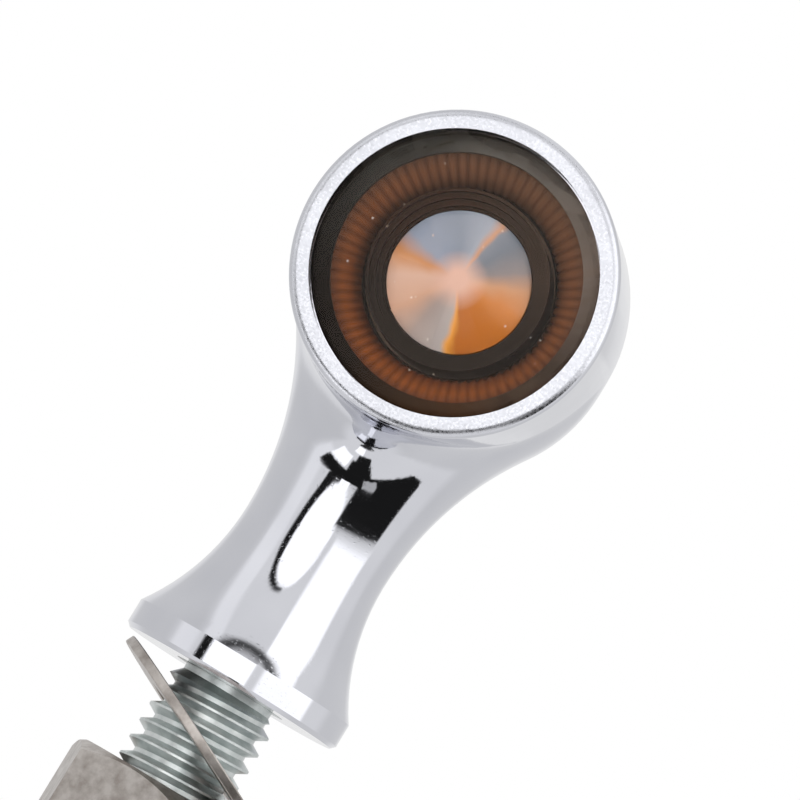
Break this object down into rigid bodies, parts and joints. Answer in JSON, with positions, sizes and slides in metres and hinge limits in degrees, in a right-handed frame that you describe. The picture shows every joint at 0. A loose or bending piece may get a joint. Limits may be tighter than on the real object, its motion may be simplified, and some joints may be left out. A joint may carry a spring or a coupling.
{
  "type": "motorcycle turn signal indicator",
  "caption": "Bullet-shaped motorcycle turn signal: chromed waisted housing, round smoked lens, hollow threaded stud, loose washer and hex nut.",
  "frame": {"origin": "centre of the flange's underside, where the stud leaves the housing", "axes": "+Z along the stud and stem towards the head, the lens faces -Y, +X to the right of someone who looks at the lens with the head up"},
  "size_m": [0.0212, 0.0216, 0.0579],
  "materials": {
    "chromed_zinc": "polished chrome over die-cast zinc",
    "smoked_lens": "clear-moulded smoked amber polycarbonate",
    "black_rubber": "matte",
    "smoked_guide": "fluted, tinted acrylic",
    "black_plastic": "satin moulded",
    "amber_optic": "faceted, polished acrylic",
    "board_laminate": "white solder mask",
    "red_led": "clear encapsulant",
    "amber_led": "silicone dome",
    "component_black": "moulded epoxy",
    "component_tan": "ceramic",
    "solder": "bright solder",
    "lead_black": "extruded insulation",
    "lead_yellow": "extruded insulation",
    "lead_red": "extruded insulation",
    "lead_blue": "extruded insulation",
    "black_sleeve": "matte",
    "potting_resin": "cast resin",
    "zinc_plated_steel": "blue-passivated zinc plating",
    "nickel_plated_steel": "dull nickel plating"
  },
  "bodies": {
    "lamp": {"housing": "chromed_zinc", "lens_cover": "smoked_lens", "lens_seal": "black_rubber", "ring_light_guide": "smoked_guide", "centre_bezel": "black_plastic", "centre_lens": "amber_optic", "led_board": "board_laminate", "ring_leds": "red_led", "turn_led": "amber_led", "driver_chip": "component_black", "surge_diode": "component_black", "capacitor": "component_tan", "resistors": "component_black", "solder_joints": "solder", "ground_lead": "lead_black", "tail_lead": "lead_yellow", "brake_lead": "lead_red", "turn_lead": "lead_blue", "lead_sleeve": "black_sleeve", "lead_grommet": "black_rubber", "potting_plug": "potting_resin", "threaded_stud": "zinc_plated_steel"},
    "washer": {"washer": "nickel_plated_steel"},
    "nut": {"hex_nut": "nickel_plated_steel"}
  },
  "joints": [
    {"name": "washer_slide", "type": "slide", "parent": "lamp", "child": "washer", "axis": [0, 0, -1], "range_m": [0, 0.01002]},
    {"name": "nut_spin", "type": "hinge", "parent": "washer", "child": "nut", "pos_m": [0, 0, 0], "axis": [0, 0, -1], "range_deg": [0, 2880]}
  ],
  "couplings": [
    {"joint": "washer_slide", "follows": "nut_spin", "m_per_rad": 0.00019894}
  ]
}
